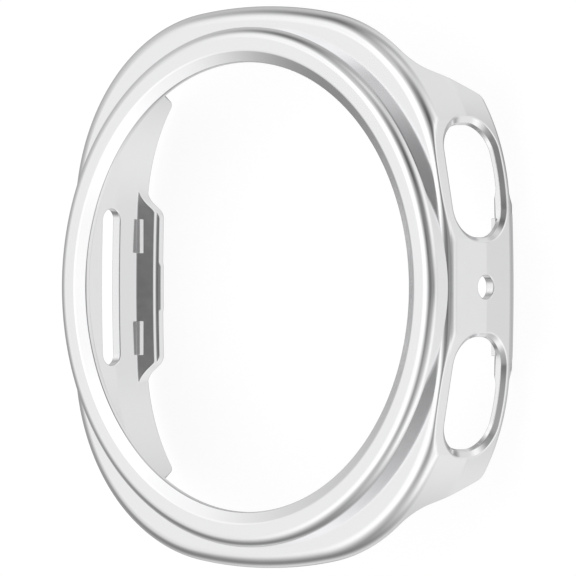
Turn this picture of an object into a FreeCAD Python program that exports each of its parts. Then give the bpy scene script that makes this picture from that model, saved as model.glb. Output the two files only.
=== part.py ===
import FreeCAD, Part
import math
import os
from FreeCAD import Vector

# Protective case that clips onto a cushion-shaped smartwatch, in millimetres.
# The case lies on its back: +Z out of the watch face, +Y to 12 o'clock, +X to 3 o'clock, the button side.
# The origin is on the axis of the round front opening, level with the rear edges of the two snap tongues.

# Cushion outline of the shell, seen from the front
HALF_WIDTH = 21.0
END_REACH = 1.3
HALF_HEIGHT = HALF_WIDTH + END_REACH
END_ARC_RADIUS = 46.0
SIDE_ARC_RADIUS = 140.0
CORNER_RADIUS = 16.2

# Levels of the shell, counted from the rear edges of the tongues
FLANGE_FRONT_Z = 8.61
END_WALL_DEPTH = 1.78
END_RIM_Z = FLANGE_FRONT_Z - END_WALL_DEPTH
CREASE_Z = 4.17
SIDE_REAR_Z = 1.03

# Walls of the shell
WALL = 0.85
FLANGE_THICKNESS = 1.0
FRONT_ROUNDING = 1.17
INNER_ROUNDING = 0.45
REAR_DRAFT_DEG = 6.05

# Strap gaps: each corner is cut square to the wall, from the level rear edge up to the rim.
# Distances run along the wall from the middle direction of the cut.
CORNER_CUT_DEG = 41.0
SIDE_EDGE_END = 1.69
END_RIM_START = 2.00
CORNER_CUT_REACH = 8.0
SIDE_EDGE_BLEND = 1.15
END_RIM_BLEND = 2.75

# Snap tongue in the middle of each side wall
TONGUE_TIP_HALF = 6.03
TONGUE_SPREAD = 1.04
TONGUE_ROOT_HALF = TONGUE_TIP_HALF + TONGUE_SPREAD
TONGUE_BLEND = 1.5
FOOT_SPREAD = 1.42
FOOT_BLEND = 3.0
TONGUE_WALL = 1.30
BEND_TOP_Z = 0.86
BEND_BOTTOM_Z = 0.34
LIP_Z = 0.99
LIP_STEP = 0.25
LAND_RUN = 0.19

# Bezel ring in its seat on the flange, just inside the middle of the side walls
RING_INSET = 0.33
RING_BAND = 2.85
RING_RISE = 1.59
RING_CHAMFER_DROP = 0.48
RING_LAND = 0.40
RING_RADIUS = HALF_WIDTH - RING_INSET
OPENING_RADIUS = RING_RADIUS - RING_BAND
RING_FRONT_Z = FLANGE_FRONT_Z + RING_RISE
RING_WALL = 0.85
RING_ROUNDING = 0.90
RING_CHAMFER_RUN = 0.81
RING_CHAMFER_BLEND = 0.80
SEAT_DEPTH = 0.50

# Speaker slot in the left wall
SLOT_Z = 4.63
SLOT_WIDTH = 1.88
SLOT_LENGTH = 12.6

# Microphone hole in the right wall
MIC_Z = 4.19
MIC_RADIUS = 0.95

# Two button openings in the right wall, each in its own flat, placed by the webs left round them
BUTTON_FRONT_WEB = 1.55
BUTTON_REAR_WEB = 0.71
BUTTON_MIC_WEB = 3.0
BUTTON_STRAP_WEB = 1.93
BUTTON_CORNER_SHARE = 0.432
BUTTON_CHAMFER = 0.38
BUTTON_HEIGHT = FLANGE_FRONT_Z - BUTTON_FRONT_WEB - SIDE_REAR_Z - BUTTON_REAR_WEB
BUTTON_Z = SIDE_REAR_Z + BUTTON_REAR_WEB + BUTTON_HEIGHT / 2
FLAT_MARGIN = 0.15
RIM_STEPS = 8

# Grip blocks, two on the ramp of each tongue
BLOCK_INSET = 1.95
BLOCK_Y = TONGUE_TIP_HALF - BLOCK_INSET
BLOCK_LENGTH = 2.72
BLOCK_WIDTH = 0.38
BLOCK_RISE = 0.05

# One overrun for every cut
OVERRUN = 1.0


def corner_centre():
    """Centre of the corner arc that touches the end arc and the side arc."""
    end_y = HALF_HEIGHT - END_ARC_RADIUS
    side_x = HALF_WIDTH - SIDE_ARC_RADIUS
    from_end = END_ARC_RADIUS - CORNER_RADIUS
    from_side = SIDE_ARC_RADIUS - CORNER_RADIUS
    apart = math.hypot(side_x, end_y)
    along = (from_end ** 2 - from_side ** 2 + apart ** 2) / (2 * apart)
    across = math.sqrt(from_end ** 2 - along ** 2)
    step_x, step_y = side_x / apart, -end_y / apart
    return Vector(along * step_x + across * step_y, end_y + along * step_y - across * step_x, 0)


def outline(offset, z):
    """Closed cushion outline of eight tangent arcs, moved inwards by offset and set at height z."""
    centre = corner_centre()
    to_end = (centre - Vector(0, HALF_HEIGHT - END_ARC_RADIUS, 0)).normalize()
    to_side = (centre - Vector(HALF_WIDTH - SIDE_ARC_RADIUS, 0, 0)).normalize()
    radius = CORNER_RADIUS - offset
    end = centre + to_end * radius
    side = centre + to_side * radius
    middle = centre + (to_end + to_side).normalize() * radius
    half_width = HALF_WIDTH - offset
    half_height = HALF_HEIGHT - offset
    route = [
        (side.x, -side.y), (half_width, 0), (side.x, side.y), (middle.x, middle.y),
        (end.x, end.y), (0, half_height), (-end.x, end.y), (-middle.x, middle.y),
        (-side.x, side.y), (-half_width, 0), (-side.x, -side.y), (-middle.x, -middle.y),
        (-end.x, -end.y), (0, -half_height), (end.x, -end.y), (middle.x, -middle.y),
        (side.x, -side.y),
    ]
    points = [Vector(x, y, z) for x, y in route]
    arcs = [Part.Arc(*points[i:i + 3]).toShape() for i in range(0, len(points) - 1, 2)]
    return Part.Wire(arcs)


def outline_x(y, offset=0):
    """Half-width of the outline, moved inwards by offset, at height y on a side arc or a corner arc."""
    centre = corner_centre()
    side_x = HALF_WIDTH - SIDE_ARC_RADIUS
    touch_y = centre.y * (SIDE_ARC_RADIUS - offset) / (SIDE_ARC_RADIUS - CORNER_RADIUS)
    if abs(y) < touch_y:
        return side_x + math.sqrt((SIDE_ARC_RADIUS - offset) ** 2 - y ** 2)
    return centre.x + math.sqrt((CORNER_RADIUS - offset) ** 2 - (abs(y) - centre.y) ** 2)


def outline_normal(y):
    """Outward direction of the outline at height y of the right wall, on the side arc or a corner arc."""
    centre = corner_centre()
    if y < centre.y * SIDE_ARC_RADIUS / (SIDE_ARC_RADIUS - CORNER_RADIUS):
        centre = Vector(HALF_WIDTH - SIDE_ARC_RADIUS, 0, 0)
    return (Vector(outline_x(y), y, 0) - centre).normalize()


def rounded_wire(corners, place):
    """Closed wire through corners (a, b, radius), each corner rounded by its own radius."""
    points = [Vector(a, b, 0) for a, b, radius in corners]
    bends = []
    for i, (a, b, radius) in enumerate(corners):
        if radius == 0:
            bends.append([points[i]])
            continue
        back = (points[i - 1] - points[i]).normalize()
        ahead = (points[(i + 1) % len(points)] - points[i]).normalize()
        half = back.getAngle(ahead) / 2
        reach = radius / math.tan(half)
        middle = points[i] + (back + ahead).normalize() * (radius / math.sin(half) - radius)
        bends.append([points[i] + back * reach, middle, points[i] + ahead * reach])
    edges = []
    for i, bend in enumerate(bends):
        if len(bend) > 1:
            edges.append(Part.Arc(*[place(p.x, p.y) for p in bend]).toShape())
        start, end = bend[-1], bends[(i + 1) % len(bends)][0]
        edges.append(Part.makeLine(place(start.x, start.y), place(end.x, end.y)))
    return Part.Wire(edges)


def draft(z):
    """Inward lean of the rear half of the walls at height z, below the crease."""
    return (CREASE_Z - z) * math.tan(math.radians(REAR_DRAFT_DEG))


def toe_offset():
    """Inward offset of the tongue's outer face after its 45 degree bend."""
    return draft(BEND_TOP_Z) + BEND_TOP_Z - BEND_BOTTOM_Z


def edges_at(shape, z):
    """Edges of a shape that lie flat at height z."""
    return [e for e in shape.Edges if all(math.isclose(v.Z, z, abs_tol=WALL / 1000) for v in e.Vertexes)]


def stack(levels):
    """Solid of ruled walls through cushion outlines, given as (z, offset) from front to rear."""
    return Part.makeLoft([outline(offset, z) for z, offset in levels], True, True)


def front_block(offset, front_z, rounding):
    """Upright cushion block from the crease to its front face, with a rounded front edge."""
    block = Part.Face(outline(offset, CREASE_Z)).extrude(Vector(0, 0, front_z - CREASE_Z))
    return block.makeFillet(rounding, edges_at(block, front_z))


def outer_body():
    """Outside of the shell: upright front half, leaning rear half and the bend of the tongues."""
    front = front_block(0, FLANGE_FRONT_Z, FRONT_ROUNDING)
    rear = stack([
        (CREASE_Z, 0),
        (BEND_TOP_Z, draft(BEND_TOP_Z)),
        (BEND_BOTTOM_Z, toe_offset()),
        (-OVERRUN, toe_offset()),
    ])
    return front.fuse(rear).removeSplitter()


def button_span(margin=0):
    """Ends along Y of a button opening, between the microphone hole and the strap gap, grown by margin."""
    angle = math.radians(CORNER_CUT_DEG)
    cut_y = corner_centre().y + CORNER_RADIUS * math.sin(angle) - SIDE_EDGE_END * math.cos(angle)
    return MIC_RADIUS + BUTTON_MIC_WEB - margin, cut_y - BUTTON_STRAP_WEB + margin


def button_frame(side):
    """Middle, direction along, outward direction and length of one button flat."""
    near, far = button_span(FLAT_MARGIN)
    start = Vector(outline_x(near), side * near, BUTTON_Z)
    end = Vector(outline_x(far), side * far, BUTTON_Z)
    along = (end - start).normalize()
    outward = Vector(side * along.y, -side * along.x, 0)
    return (start + end) / 2, along, outward, (end - start).Length


def cut_flats(shape, inset):
    """Planes a shape to both button flats, from the middle of the openings to the front."""
    for side in (1, -1):
        middle, along, outward, length = button_frame(side)
        reach = along * (length / 2 + OVERRUN)
        low = middle - outward * inset
        corners = [low - reach, low + reach]
        corners += [p + outward * HALF_WIDTH for p in reversed(corners)]
        region = Part.Face(Part.makePolygon(corners + corners[:1]))
        shape = shape.cut(region.extrude(Vector(0, 0, RING_FRONT_Z)))
    return shape


def ramp_sum():
    """Offset plus height of every point on the 45 degree ramps inside the tongues."""
    return draft(BEND_TOP_Z) + BEND_TOP_Z + TONGUE_WALL * math.sqrt(2)


def ramp_top_z():
    """Height at which the ramp leaves the inner face of the side wall."""
    lean = math.tan(math.radians(REAR_DRAFT_DEG))
    return (ramp_sum() - WALL - CREASE_Z * lean) / (1 - lean)


def land_offset():
    """Inward offset of the upright land at the tip of the tongues."""
    return ramp_sum() - LIP_Z + LAND_RUN


def ramp_cavity():
    """Space inside the tongues: 45 degree ramp, small step, second ramp and upright land."""
    lip_offset = ramp_sum() - LIP_Z
    step_z = LIP_Z - LIP_STEP
    return stack([
        (ramp_sum() - WALL / 2, WALL / 2),
        (LIP_Z, lip_offset),
        (step_z, lip_offset),
        (step_z - LAND_RUN, land_offset()),
        (-OVERRUN, land_offset()),
    ])


def tongue_hook(side):
    """Thickened lower part of one tongue, seen from the front as a pad with S-curved ends."""
    foot_half = TONGUE_TIP_HALF + FOOT_SPREAD
    land_x = outline_x(TONGUE_TIP_HALF) - land_offset()
    wall_x = outline_x(foot_half) - WALL - draft(SIDE_REAR_Z)
    outer_x = HALF_WIDTH + OVERRUN
    half = foot_half + FOOT_BLEND
    tail_x = outline_x(half) - draft(SIDE_REAR_Z)
    corners = [
        (outer_x, -half, 0), (tail_x, -half, 0),
        (wall_x, -foot_half, FOOT_BLEND), (land_x, -TONGUE_TIP_HALF, TONGUE_BLEND),
        (land_x, TONGUE_TIP_HALF, TONGUE_BLEND), (wall_x, foot_half, FOOT_BLEND),
        (tail_x, half, 0), (outer_x, half, 0),
    ]
    pad = Part.Face(rounded_wire(corners, lambda x, y: Vector(side * x, y, -OVERRUN)))
    height = ramp_top_z() + WALL / 4 + OVERRUN
    return pad.extrude(Vector(0, 0, height)).cut(ramp_cavity())


def cavity():
    """Space for the watch inside the shell, behind the flange."""
    ceiling = FLANGE_FRONT_Z - FLANGE_THICKNESS
    front = front_block(WALL, ceiling, INNER_ROUNDING)
    rear = stack([(CREASE_Z, WALL), (-OVERRUN, WALL + draft(-OVERRUN))])
    space = cut_flats(front.fuse(rear).removeSplitter(), WALL)
    for side in (1, -1):
        space = space.cut(tongue_hook(side))
    return space


def below_side_edges():
    """Region behind the level rear edges and the tongues, seen from the side and run across the case."""
    half_height = HALF_HEIGHT + OVERRUN
    upper_half = [
        (TONGUE_TIP_HALF, 0, TONGUE_BLEND), (TONGUE_ROOT_HALF, SIDE_REAR_Z, TONGUE_BLEND),
        (half_height, SIDE_REAR_Z, 0), (half_height, -2 * OVERRUN, 0),
    ]
    corners = upper_half + [(-y, z, radius) for y, z, radius in reversed(upper_half)]
    half_width = HALF_WIDTH + OVERRUN
    face = Part.Face(rounded_wire(corners, lambda y, z: Vector(-half_width, y, z)))
    return face.extrude(Vector(2 * half_width, 0, 0))


def strap_gap(side, end):
    """Region that one corner cut removes: outside the side wall's sloping end and below the rim."""
    angle = math.radians(CORNER_CUT_DEG)
    out = Vector(math.cos(angle), math.sin(angle), 0)
    along = Vector(-math.sin(angle), math.cos(angle), 0)
    start = corner_centre() + out * (CORNER_RADIUS / 2)
    corners = [
        (-CORNER_CUT_REACH, SIDE_REAR_Z, 0), (-SIDE_EDGE_END, SIDE_REAR_Z, SIDE_EDGE_BLEND),
        (END_RIM_START, END_RIM_Z, END_RIM_BLEND), (CORNER_CUT_REACH, END_RIM_Z, 0),
        (CORNER_CUT_REACH, -OVERRUN, 0), (-CORNER_CUT_REACH, -OVERRUN, 0),
    ]

    def place(s, z):
        point = start + along * s
        return Vector(side * point.x, end * point.y, z)

    face = Part.Face(rounded_wire(corners, place))
    return face.extrude(Vector(side * out.x, end * out.y, 0) * (CORNER_RADIUS / 2 + OVERRUN))


def strap_gap_middle():
    """Region below the rim between the two corner cuts, at both strap ends."""
    half_width = corner_centre().x + CORNER_RADIUS / 2
    box = Part.makeBox(2 * half_width, 2 * (HALF_HEIGHT + OVERRUN), END_RIM_Z + OVERRUN)
    box.translate(Vector(-half_width, -HALF_HEIGHT - OVERRUN, -OVERRUN))
    return box


def through_wall(wire, side):
    """Cutter from inside the cavity out through one side wall."""
    return Part.Face(wire).extrude(Vector(side * HALF_WIDTH, 0, 0))


def speaker_slot():
    """Slot with full-round ends through the left wall."""
    half_width = SLOT_WIDTH / 2
    half_run = SLOT_LENGTH / 2 - half_width
    x = -HALF_WIDTH / 2
    top, bottom = SLOT_Z + half_width, SLOT_Z - half_width
    edges = [
        Part.makeLine(Vector(x, -half_run, top), Vector(x, half_run, top)),
        Part.Arc(Vector(x, half_run, top), Vector(x, SLOT_LENGTH / 2, SLOT_Z),
                 Vector(x, half_run, bottom)).toShape(),
        Part.makeLine(Vector(x, half_run, bottom), Vector(x, -half_run, bottom)),
        Part.Arc(Vector(x, -half_run, bottom), Vector(x, -SLOT_LENGTH / 2, SLOT_Z),
                 Vector(x, -half_run, top)).toShape(),
    ]
    return through_wall(Part.Wire(edges), -1)


def microphone_hole():
    """Round hole through the right wall."""
    return Part.makeCylinder(MIC_RADIUS, HALF_WIDTH, Vector(HALF_WIDTH / 2, 0, MIC_Z), Vector(1, 0, 0))


def button_wall_x(y, z):
    """Where the right wall's outer face lies at a point seen from the side: on a flat or below the crease."""
    near, far = button_span(FLAT_MARGIN)
    if z > BUTTON_Z and near < abs(y) < far:
        share = (abs(y) - near) / (far - near)
        return outline_x(near) * (1 - share) + outline_x(far) * share
    return outline_x(y, max(0, draft(z)))


def opening_contour(grow):
    """Rounded outline of a button opening seen from the side, as eight runs of points (y, z)."""
    near, far = button_span()
    middle_y = (near + far) / 2
    corner = BUTTON_CORNER_SHARE * BUTTON_HEIGHT
    half_length = (far - near) / 2 - corner
    half_height = BUTTON_HEIGHT / 2 - corner
    radius = corner + grow
    corners = [(half_length, half_height), (-half_length, half_height),
               (-half_length, -half_height), (half_length, -half_height)]
    runs = []
    for i, (y, z) in enumerate(corners):
        turn = [math.pi / 2 * (i + step / RIM_STEPS) for step in range(RIM_STEPS + 1)]
        arc = [(middle_y + y + radius * math.cos(t), BUTTON_Z + z + radius * math.sin(t)) for t in turn]
        next_y, next_z = corners[(i + 1) % len(corners)]
        shares = [step / RIM_STEPS for step in range(RIM_STEPS + 1)]
        last_y, last_z = arc[-1]
        line = [(last_y + (next_y - y) * share, last_z + (next_z - z) * share) for share in shares]
        runs += [arc, line]
    return runs


def opening_wire(end, grow, sink):
    """Contour of a button opening, laid on the wall's outer face and sunk square to the outline."""
    edges = []
    for run in opening_contour(grow):
        points = [Vector(button_wall_x(y, z), y, z) - outline_normal(y) * sink for y, z in run]
        curve = Part.BSplineCurve()
        curve.interpolate([Vector(p.x, end * p.y, p.z) for p in points])
        edges.append(curve.toShape())
    return Part.Wire(edges)


def button_opening(end):
    """Rounded opening square through the right wall, with a 45 degree chamfer that follows the outer face."""
    inside = opening_wire(end, 0, 3 * WALL)
    neck = opening_wire(end, 0, BUTTON_CHAMFER)
    mouth = opening_wire(end, BUTTON_CHAMFER, 0)
    outside = opening_wire(end, BUTTON_CHAMFER, -2 * OVERRUN)
    return Part.makeLoft([inside, neck, mouth, outside], True, True)


def bezel_seat():
    """Stepped round hole in the flange that takes the bezel ring."""
    seat_z = FLANGE_FRONT_Z - SEAT_DEPTH
    hole = Part.makeCylinder(RING_RADIUS - RING_WALL, 2 * FLANGE_THICKNESS,
                             Vector(0, 0, FLANGE_FRONT_Z - 2 * FLANGE_THICKNESS))
    seat = Part.makeCylinder(RING_RADIUS, SEAT_DEPTH + OVERRUN, Vector(0, 0, seat_z))
    return hole.fuse(seat)


def cushion_shell(space):
    """Hollow cushion frame: side walls, flange, snap tongues and all openings."""
    shell = cut_flats(outer_body(), 0).cut(space)
    shell = shell.cut(below_side_edges()).cut(strap_gap_middle())
    for side in (1, -1):
        for end in (1, -1):
            shell = shell.cut(strap_gap(side, end))
    shell = shell.cut(bezel_seat())
    shell = shell.cut(speaker_slot())
    shell = shell.cut(microphone_hole())
    for end in (1, -1):
        shell = shell.cut(button_opening(end))
    return shell


def bezel_ring():
    """Round bezel that frames the watch glass, turned from one section."""
    seat_z = FLANGE_FRONT_Z - SEAT_DEPTH
    land_front_z = RING_FRONT_Z - RING_CHAMFER_DROP
    land_rear_z = land_front_z - RING_LAND
    inner_radius = RING_RADIUS - RING_WALL
    section = [
        (OPENING_RADIUS, land_rear_z, 0), (OPENING_RADIUS, land_front_z, 0),
        (OPENING_RADIUS + RING_CHAMFER_RUN, RING_FRONT_Z, RING_CHAMFER_BLEND),
        (RING_RADIUS, RING_FRONT_Z, RING_ROUNDING), (RING_RADIUS, seat_z, 0),
        (inner_radius, seat_z, 0), (inner_radius, land_rear_z, 0),
    ]
    face = Part.Face(rounded_wire(section, lambda r, z: Vector(r, 0, z)))
    return face.revolve(Vector(0, 0, 0), Vector(0, 0, 1), 360)


def grip_block(space, side, end):
    """Small step at the top of a tongue's ramp, with a level top and an upright inner face."""
    top_z = ramp_top_z() + BLOCK_RISE
    inner_x = outline_x(BLOCK_Y) - ramp_sum() + ramp_top_z() - BLOCK_WIDTH
    middle_y = end * BLOCK_Y
    box = Part.makeBox(WALL * 2, BLOCK_LENGTH, TONGUE_WALL)
    box.translate(Vector(inner_x, middle_y - BLOCK_LENGTH / 2, top_z - TONGUE_WALL))
    if side < 0:
        box = box.mirror(Vector(0, 0, 0), Vector(1, 0, 0))
    return box.common(space)


os.makedirs("parts", exist_ok=True)
space = cavity()
nodes = {
    "cushion_shell": cushion_shell(space),
    "bezel_ring": bezel_ring(),
}
for side_name, side in (("left", -1), ("right", 1)):
    for end_name, end in (("upper", 1), ("lower", -1)):
        nodes[side_name + "_" + end_name + "_grip_block"] = grip_block(space, side, end)
for name, shape in nodes.items():
    print(name, shape.ShapeType, len(shape.Solids), shape.isValid(), round(shape.Volume, 3), shape.BoundBox)
    shape.exportStep("parts/" + name + ".step")
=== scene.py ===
import bpy
import math
import numpy as np
from mathutils import Matrix, Vector


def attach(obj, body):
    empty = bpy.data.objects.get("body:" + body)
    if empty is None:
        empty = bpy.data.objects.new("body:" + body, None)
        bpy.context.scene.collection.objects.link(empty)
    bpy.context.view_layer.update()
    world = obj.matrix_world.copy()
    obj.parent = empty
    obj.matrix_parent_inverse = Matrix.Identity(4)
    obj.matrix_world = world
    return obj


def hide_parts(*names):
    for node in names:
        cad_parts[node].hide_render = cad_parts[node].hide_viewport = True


# Dressed model of a plated protective case for a cushion-shaped smartwatch. Sizes are in millimetres.
# The case lies on its back: +Z out of the watch face, +Y to 12 o'clock, +X to 3 o'clock, the button side.
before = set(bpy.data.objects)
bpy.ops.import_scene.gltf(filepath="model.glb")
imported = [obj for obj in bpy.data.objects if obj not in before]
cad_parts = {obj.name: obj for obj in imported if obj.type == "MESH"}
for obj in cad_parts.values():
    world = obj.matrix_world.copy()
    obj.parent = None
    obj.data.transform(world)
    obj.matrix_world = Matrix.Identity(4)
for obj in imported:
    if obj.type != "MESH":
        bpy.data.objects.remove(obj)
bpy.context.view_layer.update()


# Camera: a long lens level with the case, 44 degrees round from the face towards the button side.
# It stands 2 m away, so that the picture shows next to no perspective.
MM = 0.001
CAMERA_TURN = math.radians(44.10)
CAMERA_DISTANCE = 2000.0
VIEW_WIDTH = 45.7
SENSOR_WIDTH = 36
AIM = (2.378, -0.07, 7.483)


def photo_camera():
    """Camera at the photograph's angle, with +Y upwards in the picture."""
    data = bpy.data.cameras.new("photo_camera")
    data.sensor_width = SENSOR_WIDTH
    data.lens = SENSOR_WIDTH * CAMERA_DISTANCE / VIEW_WIDTH
    data.clip_start, data.clip_end = 0.05, 20
    camera = bpy.data.objects.new("photo_camera", data)
    bpy.context.scene.collection.objects.link(camera)
    back = Vector((math.sin(CAMERA_TURN), 0, math.cos(CAMERA_TURN)))
    right = Vector((0, 1, 0)).cross(back)
    turn = Matrix((right, (0, 1, 0), back)).transposed().to_4x4()
    camera.matrix_world = Matrix.Translation((Vector(AIM) + back * CAMERA_DISTANCE) * MM) @ turn
    bpy.context.scene.camera = camera


photo_camera()
bpy.context.scene.view_settings.view_transform = "Standard"


# Studio: a grey tent round the case, and a white background behind it. The plating mirrors the soft white
# boxes and soft black flags in the tent, which overlap where a box has a bright rim or a darker middle.
TENT_LEVEL = 0.626
BOXES_AND_FLAGS = [
    # direction, level added in the middle, tightness of the falloff
    ((0.14, -0.48, 0.87), 0.60, 31.0), ((0.90, 0.42, -0.12), 0.87, 10.0),
    ((0.57, 0.80, -0.21), -1.07, 1.8), ((-0.53, 0.82, 0.21), -0.36, 23.5),
    ((-0.77, -0.33, 0.55), -1.22, 15.6), ((0.01, 0.18, -0.98), 1.51, 2.6),
    ((-0.62, -0.67, -0.41), -1.44, 5.1), ((0.15, 0.98, 0.12), 0.60, 19.9),
    ((0.55, -0.83, 0.03), 0.48, 19.8), ((-0.31, 0.45, 0.84), 0.87, 6.0),
    ((0.98, -0.10, 0.15), 1.07, 67.4), ((-0.66, -0.38, 0.64), 1.16, 13.7),
    ((0.16, -0.33, 0.93), -1.42, 14.6), ((-0.11, -0.42, 0.90), 0.78, 28.7),
    ((-0.64, -0.64, -0.43), 1.33, 9.9), ((0.92, -0.37, -0.14), 0.51, 15.2),
    ((-0.11, -0.94, 0.31), -0.13, 44.9), ((0.54, 0.82, -0.21), 0.72, 9.8),
    ((0.28, -0.33, 0.90), 0.73, 36.3), ((0.99, -0.03, 0.14), -1.57, 53.3),
    ((0.56, 0.59, 0.58), 0.09, 49.2), ((-0.34, 0.77, 0.53), -0.18, 33.8),
    ((0.06, -0.13, 0.99), 0.91, 24.6), ((-0.11, 0.18, -0.98), -1.15, 12.7),
    ((-0.58, 0.19, -0.79), -0.64, 6.9), ((-0.83, -0.26, 0.50), 0.45, 34.4),
    ((0.52, 0.06, 0.85), -0.74, 33.1), ((0.99, 0.07, 0.13), 0.65, 63.9),
    ((0.69, 0.02, 0.73), 0.48, 60.3), ((0.17, 0.64, 0.75), -0.18, 28.4),
    ((-0.51, 0.39, 0.77), -0.25, 77.2), ((0.44, 0.02, 0.90), 0.66, 46.7),
    ((0.30, 0.27, -0.91), -0.63, 27.5), ((0.37, -0.15, -0.92), -0.48, 20.9),
    ((-1.00, 0.05, 0.02), -0.10, 66.8), ((0.98, -0.11, -0.16), 0.16, 81.2),
    ((0.74, 0.00, 0.68), -0.48, 103.1), ((0.16, -0.30, -0.94), -0.53, 33.7),
    ((0.52, 0.61, 0.59), -0.19, 82.5), ((0.54, -0.65, 0.53), -0.09, 70.7),
    ((0.58, 0.81, 0.11), 0.16, 55.3), ((0.69, -0.66, -0.28), 0.19, 55.0),
    ((-0.23, 0.65, 0.72), -0.37, 68.7),
]


def linear(code):
    """Linear red, green and blue of an sRGB hex colour, with alpha 1."""
    values = [int(code[i:i + 2], 16) / 255 for i in (1, 3, 5)]
    return [v / 12.92 if v <= 0.04045 else ((v + 0.055) / 1.055) ** 2.4 for v in values] + [1.0]


def add_node(tree, kind, settings=(), **feeds):
    """Adds one node. Settings are its properties or input values by name. Each feed is a socket or a value
    for the input of that name, or for input 0 where the feed's name is i0, and so on."""
    node = tree.nodes.new(kind)
    for name, value in dict(settings).items():
        if name in node.inputs:
            node.inputs[name].default_value = value
        else:
            setattr(node, name, value)
    for name, feed in feeds.items():
        target = node.inputs[int(name[1:]) if name[1:].isdigit() else name]
        if isinstance(feed, bpy.types.NodeSocket):
            tree.links.new(feed, target)
        else:
            target.default_value = feed
    return node


def white_tent():
    """World: white to the camera, and the tent to all that it lights or that mirrors it. A box or flag adds
    its level times e to the power of its tightness times (cosine - 1) of the angle from its direction."""
    world = bpy.data.worlds.new("white_tent")
    world.use_nodes = True
    bpy.context.scene.world = world
    tree = world.node_tree
    tree.nodes.clear()
    way = add_node(tree, "ShaderNodeTexCoord").outputs["Generated"]
    level = TENT_LEVEL
    for direction, height, tightness in BOXES_AND_FLAGS:
        aim = Vector(direction).normalized()
        cosine = add_node(tree, "ShaderNodeVectorMath", {"operation": "DOT_PRODUCT"}, i0=way, i1=aim)
        power = add_node(tree, "ShaderNodeMath", {"operation": "MULTIPLY_ADD"},
                         i0=cosine.outputs["Value"], i1=tightness, i2=-tightness)
        falloff = add_node(tree, "ShaderNodeMath", {"operation": "EXPONENT"}, i0=power.outputs[0])
        added = add_node(tree, "ShaderNodeMath", {"operation": "MULTIPLY_ADD"},
                         i0=falloff.outputs[0], i1=height, i2=level)
        level = added.outputs[0]
    tent = add_node(tree, "ShaderNodeBackground", {"Color": linear("#FFFFFF")}, Strength=level)
    white = add_node(tree, "ShaderNodeBackground", {"Color": linear("#FFFFFF")})
    path = add_node(tree, "ShaderNodeLightPath")
    mix = add_node(tree, "ShaderNodeMixShader",
                   i0=path.outputs["Is Camera Ray"], i1=tent.outputs[0], i2=white.outputs[0])
    add_node(tree, "ShaderNodeOutputWorld", Surface=mix.outputs[0])


white_tent()


# Floor: matt white board, 2 m across, on which the case lies on the rear edges of its two tongues.
# It shows as the white background, and keeps a faint shadow of the case.
FLOOR_SIZE = 2000.0
FLOOR_SHADE = 0.22
FLOOR_GLOW = 1.12


def white_board():
    """Matt white card: a little of it takes light and shadow, and the rest shows the background's white."""
    material = bpy.data.materials.new("matt_white_board")
    material.use_nodes = True
    tree = material.node_tree
    tree.nodes.clear()
    matt = add_node(tree, "ShaderNodeBsdfDiffuse", {"Color": linear("#FFFFFF")})
    glow = add_node(tree, "ShaderNodeEmission", {"Color": linear("#FFFFFF"), "Strength": FLOOR_GLOW})
    path = add_node(tree, "ShaderNodeLightPath")
    share = add_node(tree, "ShaderNodeMath", {"operation": "MULTIPLY"},
                     i0=path.outputs["Is Camera Ray"], i1=1 - FLOOR_SHADE)
    mix = add_node(tree, "ShaderNodeMixShader",
                   i0=share.outputs[0], i1=matt.outputs[0], i2=glow.outputs[0])
    add_node(tree, "ShaderNodeOutputMaterial", Surface=mix.outputs[0])
    return material


def floor_board():
    """Square board at height 0. The plating doesn't mirror it, only the tent."""
    half = FLOOR_SIZE / 2 * MM
    corners = [(-half, -half, 0), (half, -half, 0), (half, half, 0), (-half, half, 0)]
    mesh = bpy.data.meshes.new("floor_board")
    mesh.from_pydata(corners, [], [(0, 1, 2, 3)])
    board = bpy.data.objects.new("floor_board", mesh)
    bpy.context.scene.collection.objects.link(board)
    mesh.materials.append(white_board())
    board.visible_glossy = False


floor_board()


# Cushion shell: a polycarbonate moulding, vacuum-plated in bright silver. Its outline is eight tangent arcs.
# Side walls with openings hang below a flange with a round seat for the bezel ring. The two walls' springy
# tongues snap under the watch's back, and nothing else holds the case on.
HALF_WIDTH, HALF_HEIGHT = 21.0, 22.3
SIDE_ARC, END_ARC, CORNER_ARC = 140.0, 46.0, 16.2
FRONT_Z, FRONT_ROUND = 8.61, 1.17
CEILING_Z, INNER_ROUND = 7.61, 0.45
WALL, CREASE_Z, SIDE_REAR_Z, RIM_Z = 0.85, 4.17, 0.85, 6.83
DRAFT = math.tan(math.radians(6.05))
BEND_TOP_Z, BEND_LOW_Z, TONGUE_THICK = 0.86, 0.34, 1.30
LIP_Z, STEP_Z, LAND_Z, LAND_STEP = 0.99, 0.74, 0.55, 0.19
TIP_HALF, ROOT_HALF, TONGUE_BLEND = 6.03, 7.07, 1.5
PAD_HALF, FOOT_HALF, FOOT_BLEND = 5.85, 7.15, 3.0
NIB_HALF, NIB_HEIGHT = 1.8, 0.07
CUT_TURN = math.radians(41.0)
CUT_LOW, CUT_LOW_ROUND, CUT_HIGH, CUT_HIGH_ROUND = -1.25, 0.70, 1.88, 2.75
TOE_ROUND, LEAN_ROUND, RAMP_ROUND = 0.15, 1.0, 0.06
SEAT_Z, SEAT_RADIUS, HOLE_RADIUS = 8.11, 20.67, 19.82
OUTER_EDGE, INNER_EDGE = 0.30, 0.12


def corner_centre():
    """Centre of the corner arc, where circles round the end arc's and the side arc's centres meet."""
    end_y, side_x = HALF_HEIGHT - END_ARC, HALF_WIDTH - SIDE_ARC
    from_end, from_side = END_ARC - CORNER_ARC, SIDE_ARC - CORNER_ARC
    apart = math.hypot(side_x, end_y)
    along = (from_end ** 2 - from_side ** 2 + apart ** 2) / (2 * apart)
    across = math.sqrt(from_end ** 2 - along ** 2)
    return (along * side_x - across * end_y) / apart, end_y + (-along * end_y - across * side_x) / apart


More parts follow.
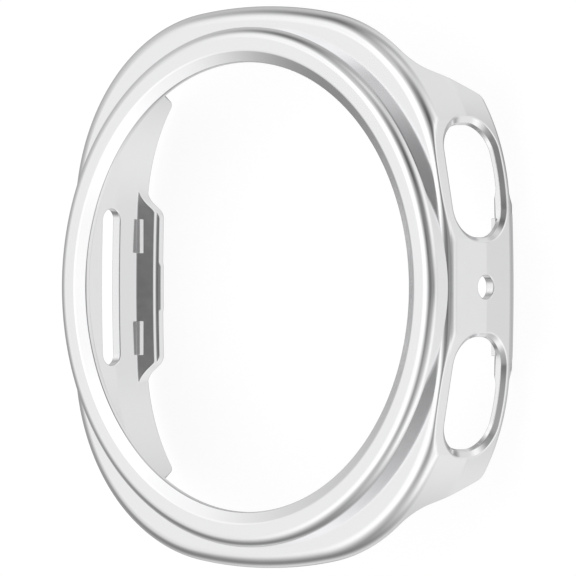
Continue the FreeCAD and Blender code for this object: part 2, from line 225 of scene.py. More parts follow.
CORNER_X, CORNER_Y = corner_centre()
SIDE_TURN = math.atan2(CORNER_Y, CORNER_X - HALF_WIDTH + SIDE_ARC)
END_TURN = math.atan2(CORNER_Y - HALF_HEIGHT + END_ARC, CORNER_X)
ARC_TURNS = np.array([-SIDE_TURN, SIDE_TURN, END_TURN, math.pi - END_TURN, math.pi - SIDE_TURN])
ARC_TURNS = np.concatenate([ARC_TURNS, ARC_TURNS[1:] + math.pi])
ARC_RADII = np.array([SIDE_ARC, CORNER_ARC, END_ARC, CORNER_ARC] * 2)
ARC_CENTRES = np.array([
    (HALF_WIDTH - SIDE_ARC, 0), (CORNER_X, CORNER_Y), (0, HALF_HEIGHT - END_ARC), (-CORNER_X, CORNER_Y),
    (SIDE_ARC - HALF_WIDTH, 0), (-CORNER_X, -CORNER_Y), (0, END_ARC - HALF_HEIGHT), (CORNER_X, -CORNER_Y),
])
ARC_ENDS = np.concatenate([[0], np.cumsum(ARC_RADII * np.diff(ARC_TURNS))])
AROUND = ARC_ENDS[-1]


def outline(run, inwards):
    """Points (x, y) at a run along the outline, moved inwards, and the outward normals there. The normal's
    angle grows evenly along each arc, and a point is the arc's centre plus the normal times the radius."""
    run = np.mod(run + ARC_ENDS[1] / 2, AROUND)
    arc = np.clip(np.searchsorted(ARC_ENDS, run, "right") - 1, 0, len(ARC_RADII) - 1)
    turn = np.interp(run, ARC_ENDS, ARC_TURNS)
    normal = np.stack([np.cos(turn), np.sin(turn)], -1)
    return ARC_CENTRES[arc] + (ARC_RADII[arc] - inwards)[..., None] * normal, normal


def corner_arc(before, corner, after, radius):
    """Arc of a radius that touches both lines at a corner: its centre, its first and last points as seen
    from the centre, and the angle that it turns through. The centre lies on the line that halves the
    corner's angle."""
    corner = np.array(corner, float)
    back, ahead = before - corner, after - corner
    back, ahead = back / np.linalg.norm(back), ahead / np.linalg.norm(ahead)
    half = math.acos(np.clip(back @ ahead, -1, 1)) / 2
    centre = corner + (back + ahead) / np.linalg.norm(back + ahead) * radius / math.sin(half)
    reach = radius / math.tan(half)
    return centre, corner + back * reach - centre, corner + ahead * reach - centre, math.pi - 2 * half


def rounded_line(corners, steps=24):
    """Points of an open line through corners (a, b, radius), with an arc of the radius at each bend."""
    points = [np.array(corners[0][:2], float)]
    for before, (a, b, radius), after in zip(corners, corners[1:], corners[2:]):
        centre, start, end, _ = corner_arc(before[:2], (a, b), after[:2], radius)
        share = np.linspace(0, 1, steps)[:, None]
        chord = start * (1 - share) + end * share
        points += list(centre + chord / np.linalg.norm(chord, axis=1)[:, None] * radius)
    return np.array(points + [np.array(corners[-1][:2], float)])


def soft_max(a, b, soft):
    """The larger of two values, with the corner between them rounded."""
    return (a + b + np.sqrt((a - b) ** 2 + soft ** 2)) / 2


# Broken lines that shape the walls. The outer wall's lean and the tongue's ramp are inward offsets at a
# height. The ramp slopes at 45 degrees, so its offset and height add up to one value. The rear edge's two
# lines are heights at a distance along the wall. All four run on far past the case.
FAR = 40.0
LEAN_SUM = (CREASE_Z - BEND_TOP_Z) * DRAFT + BEND_TOP_Z
TOE = LEAN_SUM - BEND_LOW_Z
RAMP_SUM = LEAN_SUM + TONGUE_THICK * math.sqrt(2)
LAND = RAMP_SUM - LIP_Z + LAND_STEP
LEAN = rounded_line([(-FAR, TOE, 0), (BEND_LOW_Z, TOE, TOE_ROUND),
                     (BEND_TOP_Z, LEAN_SUM - BEND_TOP_Z, LEAN_ROUND), (CREASE_Z, 0, LEAN_ROUND), (FAR, 0, 0)])
RAMP = rounded_line([(-FAR, LAND, 0), (LAND_Z, LAND, RAMP_ROUND), (STEP_Z, RAMP_SUM - LIP_Z, RAMP_ROUND),
                     (LIP_Z, RAMP_SUM - LIP_Z, RAMP_ROUND), (FAR, RAMP_SUM - FAR, 0)])
TONGUE_EDGE = rounded_line([(0, 0, 0), (TIP_HALF, 0, TONGUE_BLEND), (ROOT_HALF, SIDE_REAR_Z, TONGUE_BLEND),
                            (FAR, SIDE_REAR_Z, 0)])
CUT_EDGE = rounded_line([(-FAR, 0, 0), (CUT_LOW, 0, CUT_LOW_ROUND),
                         (CUT_HIGH, RIM_Z - SIDE_REAR_Z, CUT_HIGH_ROUND), (FAR, RIM_Z - SIDE_REAR_Z, 0)])
# Runs at every 0.01 mm, 22 mm each way from a side wall's middle, for reading a run off a height y.
RUNS = np.linspace(-22, 22, 4401)


def wall_y(run):
    """Height y of the outline at a run, up to a quarter of the way round from a side wall's middle."""
    return outline(run, np.zeros_like(run))[0][..., 1]


def side_run(run):
    """Length along the outline from the middle of the nearer side wall."""
    return np.abs(np.mod(run + AROUND / 4, AROUND / 2) - AROUND / 4)


def pad_table():
    """Inward offset of the tongue pad's face against the length along the outline from the tongue's middle.
    The pad's plan is a broken line with rounded bends. Each outline normal is followed inwards until it
    meets it."""
    lean = (CREASE_Z - SIDE_REAR_Z) * DRAFT
    tail = FOOT_HALF + FOOT_BLEND
    ends = [PAD_HALF, FOOT_HALF, tail]
    pad_x, foot_x, tail_x = np.interp(ends, wall_y(RUNS), outline(RUNS, np.zeros_like(RUNS))[0][:, 0])
    line = rounded_line([(0, pad_x - LAND, 0), (PAD_HALF, pad_x - LAND, TONGUE_BLEND),
                         (FOOT_HALF, foot_x - WALL - lean, FOOT_BLEND), (tail, tail_x - lean, 0)])
    run = np.linspace(0, tail, 500)
    inwards = np.zeros_like(run)
    for _ in range(12):
        place, normal = outline(run, inwards)
        inwards = inwards + (place[:, 0] - np.interp(place[:, 1], line[:, 0], line[:, 1])) / normal[:, 0]
    return run, inwards


PAD = pad_table()
FLAT_NEAR, FLAT_FAR, FLAT_FROM_Z, FLAT_FADE = 3.80, 13.30, 4.40, 0.8
FLAT_MIN_X, FLAT_X_FADE, FLAT_OFF, LEAST_SLOPE = 12.0, 4.0, 5.0, 0.3
FLAT_END_SOFT, FLAT_TOP_SOFT, PAD_SOFT = 0.012, 0.16, 0.03


def flat_depth(run, inset, z):
    """How far inwards along the outline's normal a button flat's plane lies, moved inwards by inset. The
    plane goes through the outline's two points at the flat's ends. It fades outwards below the flat and on
    the left half."""
    runs = np.interp([FLAT_NEAR, FLAT_FAR], wall_y(RUNS), RUNS)
    ends = outline(runs, np.zeros(2))[0]
    along = (ends[1] - ends[0]) / np.linalg.norm(ends[1] - ends[0])
    facing = np.array([along[1], -along[0]])
    base, normal = outline(run, np.zeros_like(run))
    mirror = np.where(base[..., 1:] < 0, -1.0, 1.0) * [0, 1] + [1, 0]
    base, normal = base * mirror, normal * mirror
    slope = np.maximum(normal @ facing, LEAST_SLOPE)
    depth = ((base - ends[0]) @ facing + inset) / slope
    on_right = np.clip((base[..., 0] - FLAT_MIN_X) / FLAT_X_FADE, 0, 1)
    depth = depth - np.maximum(FLAT_FROM_Z + FLAT_FADE - z, 0) ** 2
    return depth * on_right - FLAT_OFF * (1 - on_right)


def rear_z(points):
    """Height of the shell's rear edge at points (x, y): tongue tips at 0, level side edges, sloping cuts,
    end rims. The tongue's curve is read at the distance y from the dial's 3 o'clock line, and a corner
    cut's at the distance along its own wall from the cut's middle direction."""
    x, y = np.abs(points[..., 0]) - CORNER_X, np.abs(points[..., 1]) - CORNER_Y
    along = -x * math.sin(CUT_TURN) + y * math.cos(CUT_TURN)
    tongue = np.interp(np.abs(points[..., 1]), TONGUE_EDGE[:, 0], TONGUE_EDGE[:, 1])
    return tongue + np.interp(along, CUT_EDGE[:, 0], CUT_EDGE[:, 1])


def circle_inwards(run, radius):
    """Inward offset at which the outline's normal meets a circle round the dial's axis."""
    base, normal = outline(run, np.zeros_like(run))
    across = (base * normal).sum(-1)
    return across - np.sqrt(across ** 2 - (base ** 2).sum(-1) + radius ** 2)


def outer_face(run, rise):
    """Outer face of the shell: the rise is the height z up the wall, then the length over the front
    rounding and inwards over the flange. The lean, the tongue's bend and the button flats move the wall
    inwards."""
    turn = np.clip((rise - FRONT_Z + FRONT_ROUND) / FRONT_ROUND, 0, math.pi / 2)
    over = np.maximum(rise - FRONT_Z + FRONT_ROUND * (1 - math.pi / 2), 0)
    z = np.minimum(rise, FRONT_Z - FRONT_ROUND) + FRONT_ROUND * np.sin(turn)
    inwards = np.interp(z, *LEAN.T) + FRONT_ROUND * (1 - np.cos(turn)) + over
    soft = FLAT_END_SOFT + (FLAT_TOP_SOFT - FLAT_END_SOFT) * np.clip(2 * turn, 0, 1)
    inwards = soft_max(inwards, flat_depth(run, 0, z), soft)
    return np.concatenate([outline(run, inwards)[0], z[..., None]], -1)


def inner_face(run, rise):
    """Inner face: the rise is the height z up the wall, then the length over the inner rounding and along
    the flange's back. At a tongue the pad stands in from the wall, as far as the 45 degree ramp allows."""
    turn = np.clip((rise - CEILING_Z + INNER_ROUND) / INNER_ROUND, 0, math.pi / 2)
    over = np.maximum(rise - CEILING_Z + INNER_ROUND * (1 - math.pi / 2), 0)
    z = np.minimum(rise, CEILING_Z - INNER_ROUND) + INNER_ROUND * np.sin(turn)
    wall = WALL + np.maximum(CREASE_Z - z, 0) * DRAFT
    from_middle = side_run(run)
    nib = NIB_HEIGHT * np.clip((NIB_HALF - from_middle) / NIB_HEIGHT, 0, 1)
    nib = nib * np.clip((LAND_Z - z) / NIB_HEIGHT, 0, 1)
    pad = -soft_max(-np.interp(from_middle, *PAD, right=-1), -np.interp(z, *RAMP.T), PAD_SOFT)
    inwards = soft_max(wall, pad + nib, PAD_SOFT) + INNER_ROUND * (1 - np.cos(turn)) + over
    inwards = soft_max(inwards, flat_depth(run, WALL, z), FLAT_END_SOFT)
    return np.concatenate([outline(run, inwards)[0], z[..., None]], -1)


def with_normals(face, run, rise, way):
    """Points of a face and its unit normals, from the cross product of two small steps on it. Way is 1 for
    the outer face and -1 for the inner one."""
    step = 2e-4
    across = face(run + step, rise) - face(run - step, rise)
    up = face(run, rise + step) - face(run, rise - step)
    normal = np.cross(across, up) * way
    return face(run, rise), normal / np.maximum(np.linalg.norm(normal, axis=-1, keepdims=True), 1e-12)


def rise_at(inwards, wall_inwards, top_z, rounding):
    """Rise at which a face's rounding or level part has come that far inwards."""
    past = inwards - wall_inwards
    bend = rounding * np.arccos(np.clip(1 - past / rounding, 0, 1))
    return top_z - rounding + bend + np.maximum(past - rounding, 0)


# Columns of the grid, as runs from a side wall's middle with the count up to the next, and heights of its
# rows. Both crowd at bends, tongues and openings. The foot rows move up with the rear edge.
COLUMN_STOPS = [(0, 8), (1.7, 4), (3.15, 9), (5.4, 24), (7.8, 25), (14.1, 44), (23.0, 22), (AROUND / 4, 0)]
OUTER_FOOT = np.array([.10, .22, .30, .34, .38, .46, .56, .66, .76, .82, .86, .90, .98, 1.1])
INNER_FOOT = np.array([.10, .30, .48, .53, .57, .65, .72, .76, .86, .95, .99, 1.03, 1.1, 1.17])
OUTER_WALL = np.array([1.25, 1.5, 1.8, 2.2, 2.6, 3.0, 3.4, 3.8, 4.1, 4.17, 4.24, 4.5, 4.8, 5.2, 5.6, 6.0,
                       6.4, 6.8, 7.1, 7.3, 7.44, 7.58, 7.74, 7.9])
INNER_WALL = np.array([1.25, 1.4, 1.55, 1.7, 1.82, 1.93, 2.0, 2.1, 2.3, 2.7, 3.2, 3.7, 4.12, 4.17, 4.22, 4.7,
                       5.2, 5.6, 6.0, 6.4, 6.75, 6.95, 7.05, 7.1])
OUTER_LEVEL = np.array([.80, .50, .25, .10, 0])
INNER_LEVEL = np.array([.60, .30, 0])
OUTER_BEND_ROWS, INNER_BEND_ROWS, BEND_SHARE, LEVEL_ROOM = 16, 8, 0.8, 1.15
FOOT_TOP, FOOT_GAP = 1.25, 0.02
PAD_ROW, PAD_TOP_ROW, PAD_FADE_END = 8, 19, 9.2


def column_runs():
    """Runs of the grid's columns: one quarter's, then mirrored and repeated all round."""
    quarter = [np.linspace(a, b, n, endpoint=False)
               for (a, n), (b, _) in zip(COLUMN_STOPS, COLUMN_STOPS[1:])]
    quarter = np.concatenate(quarter + [[AROUND / 4]])
    half = np.concatenate([quarter, AROUND / 2 - quarter[-2::-1]])
    return np.concatenate([half[:-1], AROUND / 2 + half[:-1]])


def wall_rises(run, foot, wall, face, rounding):
    """Rises of the wall rows of a face, from just above the rear edge to the last wall row. Where the rear
    edge is high, at the strap ends, they are squeezed into what is left."""
    edge = rear_z(face(run, np.full_like(run, FOOT_TOP))[:, :2]) + rounding
    for _ in range(3):
        edge = rear_z(face(run, edge)[:, :2]) + rounding
    bottom = np.maximum(FOOT_TOP, edge + FOOT_GAP)
    low = edge + (foot[:, None] - foot[0]) / (FOOT_TOP - foot[0]) * (bottom - edge)
    share = (wall[:, None] - FOOT_TOP) / (wall[-1] - FOOT_TOP)
    return np.concatenate([low, bottom + share * (wall[-1] - bottom)])


def along_pad(run, rises):
    """Rises of the inner face's rows with one foot row moved onto the line where the left tongue's pad
    meets its ramp, and its neighbours shifted in proportion. The right wall's button openings leave no room
    for that."""
    foot, top = PAD_ROW, PAD_TOP_ROW
    meets = RAMP_SUM - np.interp(side_run(run), *PAD)
    reach = np.clip((PAD_FADE_END - side_run(run)) / (PAD_FADE_END - FOOT_HALF), 0, 1)
    reach = reach * (np.abs(np.mod(run, AROUND) - AROUND / 2) < AROUND / 4)
    line = rises[foot] + (np.clip(meets, rises[foot], rises[top] - FOOT_GAP) - rises[foot]) * reach
    below = rises[0] + (rises[:foot] - rises[0]) * (line - rises[0]) / (rises[foot] - rises[0])
    above = rises[top] + (rises[foot:top] - rises[top]) * (line - rises[top]) / (rises[foot] - rises[top])
    return np.concatenate([below, above, rises[top:]])


def top_rises(first, last, bend_end, bend_rows, from_end):
    """Rises from the last wall row to the round seat or hole: most rows lie on the rounding, and the rest
    at set distances from the end. Where the level part is short, the rounding's rows end earlier and the
    rest crowd."""
    knee = np.minimum(bend_end, first + BEND_SHARE * (last - first))
    bend = first + np.linspace(0, 1, bend_rows + 1)[1:, None] * (knee - first)
    squeeze = np.minimum(1, (last - knee) / (from_end[0] * LEVEL_ROOM))
    return np.concatenate([bend, last - from_end[:, None] * squeeze])


def seat_rows(run, inner_top):
    """Rows over the round seat under the bezel ring and down its bore, with a small rounding at the rear
    edge. Each row lies on a circle round the dial's axis, met by the outline's normals."""
    outer_in, inner_in = circle_inwards(run, SEAT_RADIUS), circle_inwards(run, HOLE_RADIUS)
    down = np.array([0, 0, -1.0])
    rows = []

    def add(inwards, z, facing):
        """Adds a row at one height, with normals that facing works out from the unit radii to its points."""
        points, _ = outline(run, inwards)
        radial = np.concatenate([points, np.zeros((len(run), 1))], -1)
        radial /= np.linalg.norm(radial, axis=1, keepdims=True)
        normal = facing(radial)
        normal /= np.linalg.norm(normal, axis=1, keepdims=True)
        rows.append((np.concatenate([points, z[:, None]], -1), normal))

    level = np.full_like(run, SEAT_Z)
    add(outer_in, level, lambda radial: -radial - down)
    add(inner_in, level, lambda radial: -radial - down)
    for turn in np.radians([0, 30, 60, 90]):
        step = INNER_EDGE * (1 - math.cos(turn))
        inwards = circle_inwards(run, HOLE_RADIUS + step)
        add(inwards, inner_top + INNER_EDGE * (1 - math.sin(turn)),
            lambda radial: -radial * math.cos(turn) + down * math.sin(turn))
    return rows


def edge_rows(run, outer_end, inner_end):
    """Rows round the rear edge, from the inner face to the outer face, with a quarter circle at each side.
    A row's height is the rear edge's there plus the part of the rounding that is left."""
    rows = []
    face_in = inner_end[0]
    face_out = outer_end[0]
    across = face_out - face_in
    across[:, 2] = 0
    thick = np.linalg.norm(across, axis=1, keepdims=True)
    across /= thick
    for turn in np.radians([22.5, 45, 67.5, 90]):
        rows.append((face_in + across * INNER_EDGE * (1 - math.cos(turn)), turn, -1, INNER_EDGE))
    rows.append(((face_in + face_out) / 2, math.pi / 2, 0, 0))
    for turn in np.radians([90, 67.5, 45, 22.5]):
        rows.append((face_out - across * OUTER_EDGE * (1 - math.cos(turn)), turn, 1, OUTER_EDGE))
    made = []
    for place, turn, side, rounding in rows:
        place = place.copy()
        place[:, 2] = rear_z(place[:, :2]) + rounding * (1 - math.sin(turn))
        tangent = np.roll(place, -1, 0) - np.roll(place, 1, 0)
        below = np.cross(tangent, across)
        below /= np.linalg.norm(below, axis=1, keepdims=True)
        below *= -np.sign(below[:, 2:])
        facing = across * side * math.cos(turn) + below * math.sin(turn)
        made.append((place, facing / np.linalg.norm(facing, axis=1, keepdims=True)))
    return made


# Mouths of the openings: how far the line has grown, how deep it lies, and its face's turn in degrees.
# The button openings have a chamfer to guide a fingertip, and the holes a small rounding.
ROUND_MOUTH = [(0.10, 0.0, 0), (0.062, 0.008, 22.5), (0.029, 0.029, 45), (0.008, 0.062, 67.5), (0, 0.10, 90)]
CHAMFER_MOUTH = [
    (0.484, 0.0, 0), (0.435, 0.005, 11.2), (0.388, 0.019, 22.5), (0.345, 0.042, 33.7), (0.307, 0.073, 45),
    (0.035, 0.345, 45), (0.009, 0.385, 67.5), (0, 0.43, 90),
]
OPENINGS = [
    # side, middle y, middle z, half length, half height, corner radius, mouth,
    # first and last column stop, outer rows, inner rows
    (1, 8.55, 4.40, 4.60, 2.66, 2.298, CHAMFER_MOUTH, 3.15, 14.1, (0, 23), (1, 24)),
    (1, -8.55, 4.40, 4.60, 2.66, 2.298, CHAMFER_MOUTH, -14.1, -3.15, (0, 23), (1, 24)),
    (1, 0.0, 4.19, 0.95, 0.95, 0.9499, ROUND_MOUTH, -1.7, 1.7, (4, 16), (8, 20)),
    (-1, 0.0, 4.63, 6.30, 0.94, 0.9399, ROUND_MOUTH, -7.8, 7.8, (5, 17), (8, 20)),
]
BEND_WEIGHT = 2.2
COLLAR_RINGS = 10


def wall_run(side, y, z):
    """Run at which the outer face of one side wall has height y at level z: the outline's run for y,
    corrected for the face's depth."""
    wanted = np.interp(side * y, wall_y(RUNS), RUNS)
    middle = 0 if side > 0 else AROUND / 2
    run = wanted
    for _ in range(6):
        found = outer_face(middle + run, z)[..., 1]
        run = run + wanted - np.interp(side * found, wall_y(RUNS), RUNS)
    return middle + run


def slot_line(y_mid, z_mid, half_length, half_height, radius, grow, share):
    """Points (y, z) of a rounded rectangle grown outwards, and its outward normals, at shares of the way
    round. Bends count for more than their length, so that the points crowd in them."""
    flat_y, flat_z = half_length - radius, half_height - radius
    bend = BEND_WEIGHT * radius * math.pi / 2
    lengths = np.array([flat_z, bend, 2 * flat_y, bend, 2 * flat_z, bend, 2 * flat_y, bend, flat_z])
    stops = np.concatenate([[0], np.cumsum(lengths)]) / lengths.sum()
    turns = np.array([0, 0, 1, 1, 2, 2, 3, 3, 4, 4]) * math.pi / 2
    turn = np.interp(share, stops, turns)
    y = np.interp(share, stops, np.array([1, 1, 1, -1, -1, -1, -1, 1, 1, 1]) * flat_y)
    z = np.interp(share, stops, np.array([0, 1, 1, 1, 1, -1, -1, -1, -1, 0]) * flat_z)
    normal = np.stack([np.cos(turn), np.sin(turn)], -1)
    return np.stack([y_mid + y, z_mid + z], -1) + normal * (radius + grow), normal


def loop_shares(run, rise, wide, tall, middle_run, middle_rise):
    """Shares of the way round an opening's contour for the points of the cell loop round it. The points
    level or in line with the opening's middle get quarter shares, and the rest follow by length along the
    loop."""
    step = np.hypot(np.roll(run, -1) - run, np.roll(rise, -1) - rise)
    length = np.concatenate([[0], np.cumsum(step)])
    total = length[-1]
    run, rise = np.append(run, run[0]), np.append(rise, rise[0])
    middle_run = middle_run + np.round((run[0] - middle_run) / AROUND) * AROUND
    a, b, c = wide, wide + tall, 2 * wide + tall
    low = np.interp(middle_run, run[:a + 1], length[:a + 1])
    right = np.interp(middle_rise, rise[a:b + 1], length[a:b + 1])
    high = np.interp(middle_run, run[b:c + 1][::-1], length[b:c + 1][::-1])
    left = np.interp(middle_rise, rise[c:][::-1], length[c:][::-1])
    quarters = [left - total, low, right, high, left, low + total]
    return np.mod(np.interp(length[:-1], quarters, np.arange(-2, 4) / 4), 1)


def cell_loop(i0, i1, j0, j1, columns):
    """Vertex numbers round a rectangle of a grid's cells: along its row j0, up column i1, back along row j1
    and down column i0. Rows may count downwards."""
    along, step = np.arange(i0, i1 + 1), 1 if j1 > j0 else -1
    up = np.arange(j0, j1 + step, step)
    column = np.concatenate([along[:-1], np.full(len(up) - 1, i1), along[:0:-1], np.full(len(up) - 1, i0)])
    row = np.concatenate([np.full(len(along) - 1, j0), up[:-1], np.full(len(along) - 1, j1), up[:0:-1]])
    return row * columns + column % columns


def cell_faces(row, column, rows, columns):
    """Four-sided faces of the cells at given rows and columns of a grid, which closes on itself both ways."""
    up, on = (row + 1) % rows, (column + 1) % columns
    faces = [row * columns + column, row * columns + on, up * columns + on, up * columns + column]
    return np.stack(faces, -1).reshape(-1, 4)


def shell_mesh():
    """Shell: rows up the outer face, over the flange, down through the seat, along the inner face and round
    the rear edge, closed in both directions. Each opening is lined with loops, which go from its cells'
    edge in the outer face over the mouth and through the wall to the inner face."""
    run = column_runs()
    outer_rise = wall_rises(run, OUTER_FOOT, OUTER_WALL, outer_face, OUTER_EDGE)
    last = rise_at(circle_inwards(run, SEAT_RADIUS), 0, FRONT_Z, FRONT_ROUND)
    bend_end = FRONT_Z + FRONT_ROUND * (math.pi / 2 - 1)
    top = top_rises(outer_rise[-1], last, bend_end, OUTER_BEND_ROWS, OUTER_LEVEL)
    outer_rise = np.concatenate([outer_rise, top])
    inner_rise = along_pad(run, wall_rises(run, INNER_FOOT, INNER_WALL, inner_face, INNER_EDGE))
    last = rise_at(circle_inwards(run, HOLE_RADIUS + INNER_EDGE), WALL, CEILING_Z, INNER_ROUND)
    bend_end = CEILING_Z + INNER_ROUND * (math.pi / 2 - 1)
    top = top_rises(inner_rise[-1], last, bend_end, INNER_BEND_ROWS, INNER_LEVEL)
    inner_rise = np.concatenate([inner_rise, top])
    outer = [with_normals(outer_face, run, rise, 1) for rise in outer_rise]
    inner = [with_normals(inner_face, run, rise, -1) for rise in inner_rise]
    seat = seat_rows(run, inner[-1][0][:, 2])
    rows = outer + seat + inner[::-1] + edge_rows(run, outer[0], inner[0])
    points, normals = np.concatenate([p for p, _ in rows]), np.concatenate([n for _, n in rows])
    wide = len(run)
    kept = np.ones((len(rows), wide), bool)
    first_inner = len(outer) + len(seat) + len(inner) - 1
    faces = []
    for side, y, z, half_length, half_height, radius, mouth, start, stop, *spans in OPENINGS:
        middle = 0 if side > 0 else AROUND / 2
        i0, i1 = [int(np.argmin(np.abs(np.mod(run - middle - s + AROUND / 2, AROUND) - AROUND / 2)))
                  for s in (start, stop)]
        i1 += wide if i1 < i0 else 0
        low, high = [n + len(OUTER_FOOT) for n in spans[0]]
        deep, shallow = [first_inner - n - len(INNER_FOOT) for n in spans[1]]
        outer_loop = cell_loop(i0, i1, low, high, wide)
        inner_loop = cell_loop(i0, i1, deep, shallow, wide)
        kept[low:high, np.arange(i0, i1) % wide] = False
        kept[shallow:deep, np.arange(i0, i1) % wide] = False
        count = len(outer_loop)
        columns = outer_loop % wide
        base_run = run[columns] + np.where(columns < i0, AROUND, 0)
        outer_rises = outer_rise[outer_loop // wide, columns]
        inner_rises = inner_rise[first_inner - inner_loop // wide, columns]
        middle_run = wall_run(side, np.array([y]), np.array([z]))[0]
        share = loop_shares(base_run, outer_rises, i1 - i0, high - low, middle_run, z)

        def contour(grow):
            """Runs, heights and outward normals (y, z) of the opening's line, grown, on its side wall."""
            line, away = slot_line(y * side, z, half_length, half_height, radius, grow, share)
            line, away = line * [side, 1], away * [side, 1]
            place = wall_run(side, line[:, 0], line[:, 1])
            return place + np.round((base_run - place) / AROUND) * AROUND, line[:, 1], away

        def collar(face, way, grow, rises):
            """Loops over a face at even shares of the way from its cells' edge to the grown line."""
            place, level, _ = contour(grow)
            shares = np.linspace(0, 1, COLLAR_RINGS + 1)[1:]
            return [with_normals(face, base_run * (1 - t) + place * t, rises * (1 - t) + level * t, way)
                    for t in shares]

        def lip(face, way, profile):
            """Loops over a mouth and into the wall. Each lies as deep as the profile says, square to the
            outline, and its normal turns from the face's to the one that looks into the hole."""
            made = []
            for grow, depth, turn in profile[1:]:
                place, level, away = contour(grow)
                spot, facing = with_normals(face, place, level, way)
                level_normal = outline(place, 0 * place)[1]
                square = np.concatenate([level_normal * way, np.zeros((count, 1))], -1)
                spot = spot - square * depth
                along = level_normal[:, ::-1] * [-1, 1] * (level_normal[:, 0] * away[:, 0])[:, None]
                away = np.concatenate([along, away[:, 1:]], -1)
                away /= np.linalg.norm(away, axis=1, keepdims=True)
                facing = facing + (square - facing) * min(turn / 45, 1)
                facing = facing * math.cos(math.radians(turn)) - away * math.sin(math.radians(turn))
                made.append((spot, facing / np.linalg.norm(facing, axis=1, keepdims=True)))
            return made

        loops = collar(outer_face, 1, mouth[0][0], outer_rises) + lip(outer_face, 1, mouth)
        loops += lip(inner_face, -1, ROUND_MOUTH)[::-1]
        loops += collar(inner_face, -1, ROUND_MOUTH[0][0], inner_rises)[::-1]
        numbers = [outer_loop]
        for spot, facing in loops:
            numbers.append(np.arange(count) + len(points))
            points, normals = np.concatenate([points, spot]), np.concatenate([normals, facing])
        numbers.append(inner_loop)
        for a, b in zip(numbers, numbers[1:]):
            faces.append(np.stack([a, np.roll(a, -1), np.roll(b, -1), b], -1))
    return points, normals, np.concatenate([cell_faces(*np.nonzero(kept), *kept.shape)] + faces)


def solid_piece(name, points, normals, faces, material, slot, node):
    """Mesh object from points in millimetres, with the true surface's normals, in place of a CAD node."""
    used = np.unique(np.concatenate([np.ravel(f) for f in faces]))
    number = np.zeros(len(points), int)
    number[used] = np.arange(len(used))
    mesh = bpy.data.meshes.new(name)
    mesh.from_pydata(points[used] * MM, [], [number[f] for f in faces])
    mesh.shade_smooth()
    mesh.normals_split_custom_set_from_vertices(normals[used])
    mesh.materials.append(material)
    piece = bpy.data.objects.new(name, mesh)
    bpy.context.scene.collection.objects.link(piece)
    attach(piece, "root")
    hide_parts(node)


# Haze in patches 0.9 mm across, and how far their roughness lies from the finish's own.
HAZE_PATCH, HAZE_DETAIL = 0.9, 3.0
HAZE_LEAST, HAZE_MOST = -0.02, 0.03


def plated_polycarbonate(name, tone, roughness):
    """Bright silver plated on moulded polycarbonate. It gives the eye a mirror with a soft haze, which the
    plastic's unevenness under the thin metal makes a little stronger and weaker in patches about a
    millimetre across."""
    material = bpy.data.materials.new(name)
    material.use_nodes = True
    tree = material.node_tree
    shader = tree.nodes["Principled BSDF"]
    shader.inputs["Base Color"].default_value = linear(tone)
    shader.inputs["Metallic"].default_value = 1.0
    place = add_node(tree, "ShaderNodeTexCoord").outputs["Object"]
    patches = add_node(tree, "ShaderNodeTexNoise", {"Scale": 1 / (HAZE_PATCH * MM), "Detail": HAZE_DETAIL},
                       Vector=place)
    haze = add_node(tree, "ShaderNodeMapRange", {
        "From Min": 0.3, "From Max": 0.7,
        "To Min": roughness + HAZE_LEAST, "To Max": roughness + HAZE_MOST}, Value=patches.outputs[0])
    tree.links.new(haze.outputs["Result"], shader.inputs["Roughness"])
    return material


shell_finish = plated_polycarbonate("bright_plated_polycarbonate", "#F6F6F7", 0.14)
solid_piece("plated_cushion_shell", *shell_mesh(), shell_finish, "plated_shell", "cushion_shell")


# Bezel ring: the round frame that stands up round the watch's glass, of the same plated polycarbonate.
# It is a turned form with a sloping inner rim and a rounded front, and sits in the flange's stepped seat.
RING_STEPS = 480
ARC_STEPS, SMALL_ARC_STEPS, SMALL_ARC = 25, 5, 0.1
RING_SECTION = [
    # radius, height, rounding
    (17.84, 9.38, 0.08), (17.84, 9.78, 0.15), (18.80, 10.20, 0.50), (20.67, 10.20, 0.90),
    (20.67, 8.11, 0.02), (19.82, 8.11, 0.02), (19.82, 9.38, 0.05),
]


def rounded_section(corners, steps):
    """Points and outward normals round a closed section: an arc at each corner, straight lines between
    them. An arc's points are its first and last points weighted by sines. Corners run clockwise, so that a
    line's outward normal is its direction turned to the left."""
    points, normals = [], []
    for i, (a, b, radius) in enumerate(corners):
        before, after = corners[i - 1][:2], corners[(i + 1) % len(corners)][:2]
        centre, first, last, sweep = corner_arc(before, (a, b), after, radius)
        bulges = np.cross(np.subtract((a, b), before), np.subtract(after, (a, b))) < 0
        share = np.linspace(0, 1, steps if radius > SMALL_ARC else SMALL_ARC_STEPS)[:, None]
        arc = (first * np.sin((1 - share) * sweep) + last * np.sin(share * sweep)) / math.sin(sweep)
        points += list(centre + arc)
        normals += list((arc if bulges else -arc) / radius)
    return np.array(points), np.array(normals)


def ring_mesh():
    """Ring: the rounded section turned round the dial's axis. A point is (radius times the cosine and the
    sine of the turn, height)."""
    section, facing = rounded_section(RING_SECTION, ARC_STEPS)
    turn = np.linspace(0, 2 * math.pi, RING_STEPS, endpoint=False)[:, None]
    across, up = np.stack([np.cos(turn), np.sin(turn), 0 * turn], -1), np.array([0, 0, 1.0])
    points, normals = [line[:, :1] * across + line[:, 1:] * up for line in (section, facing)]
    size = (RING_STEPS, len(section))
    return points.reshape(-1, 3), normals.reshape(-1, 3), cell_faces(*np.indices(size), *size)


bezel_finish = plated_polycarbonate("bright_plated_bezel", "#F6F6F7", 0.14)
solid_piece("plated_bezel_ring", *ring_mesh(), bezel_finish, "plated_bezel", "bezel_ring")


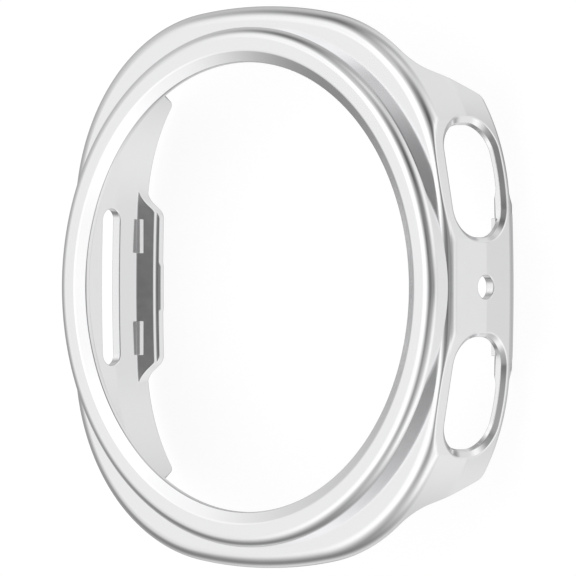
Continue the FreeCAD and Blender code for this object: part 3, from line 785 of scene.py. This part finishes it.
# Grip blocks: two small steps at the top of each tongue's ramp, of the same plated polycarbonate.
# They stand against the ramp and the inner wall behind it, and hold the watch's back.
BLOCK_TOP_Z, BLOCK_FOOT_Z, BLOCK_ROUND = 2.016, 1.50, 0.04
BLOCK_X, BLOCK_BACK_X, BLOCK_NEAR, BLOCK_FAR = 19.45, 19.90, 2.72, 5.44
BLOCK_FRONT, BLOCK_BACK_RISE, BLOCK_TOE = 0.42, 0.36, 0.10
BLOCK_ARC_STEPS, BLOCK_END_STEPS = 7, 5


def block_mesh(side, end):
    """Block: a five-sided section with rounded corners, carried along Y and drawn in by the rounding at
    both ends. The ends are closed by one face each."""
    section, facing = rounded_section([
        (BLOCK_X, BLOCK_TOP_Z - BLOCK_FRONT, BLOCK_ROUND), (BLOCK_X, BLOCK_TOP_Z, BLOCK_ROUND),
        (BLOCK_BACK_X, BLOCK_TOP_Z, BLOCK_ROUND),
        (BLOCK_BACK_X, BLOCK_FOOT_Z + BLOCK_BACK_RISE, BLOCK_ROUND),
        (BLOCK_X + BLOCK_TOE, BLOCK_FOOT_Z, BLOCK_ROUND)], BLOCK_ARC_STEPS)
    turns = np.radians(np.linspace(90, 0, BLOCK_END_STEPS))
    length = BLOCK_FAR - BLOCK_NEAR
    stations = [(BLOCK_ROUND * (1 - math.sin(t)), BLOCK_ROUND * (1 - math.cos(t)), -math.sin(t))
                for t in turns]
    stations += [(length - along, inset, -lean) for along, inset, lean in stations[::-1]]
    points, normals = [], []
    for along, inset, lean in stations:
        line = section - facing * inset
        points.append(np.stack([line[:, 0], np.full(len(line), BLOCK_NEAR + along), line[:, 1]], -1))
        level = math.sqrt(1 - lean ** 2)
        normals.append(np.stack([facing[:, 0] * level, np.full(len(line), lean), facing[:, 1] * level], -1))
    rows, count = len(stations), len(section)
    points, normals = np.concatenate(points) * [side, end, 1], np.concatenate(normals) * [side, end, 1]
    faces = cell_faces(*np.indices((rows - 1, count)), rows, count).tolist()
    faces += [list(range(count))[::-1], list(range((rows - 1) * count, rows * count))]
    if side * end < 0:
        faces = [face[::-1] for face in faces]
    return points, normals, faces


grip_finish = plated_polycarbonate("bright_plated_grip", "#F2F2F3", 0.18)
for side_name, side in (("left", -1), ("right", 1)):
    for end_name, end in (("upper", 1), ("lower", -1)):
        label = side_name + "_" + end_name + "_grip_block"
        solid_piece("plated_" + label, *block_mesh(side, end), grip_finish, "plated_grip", label)
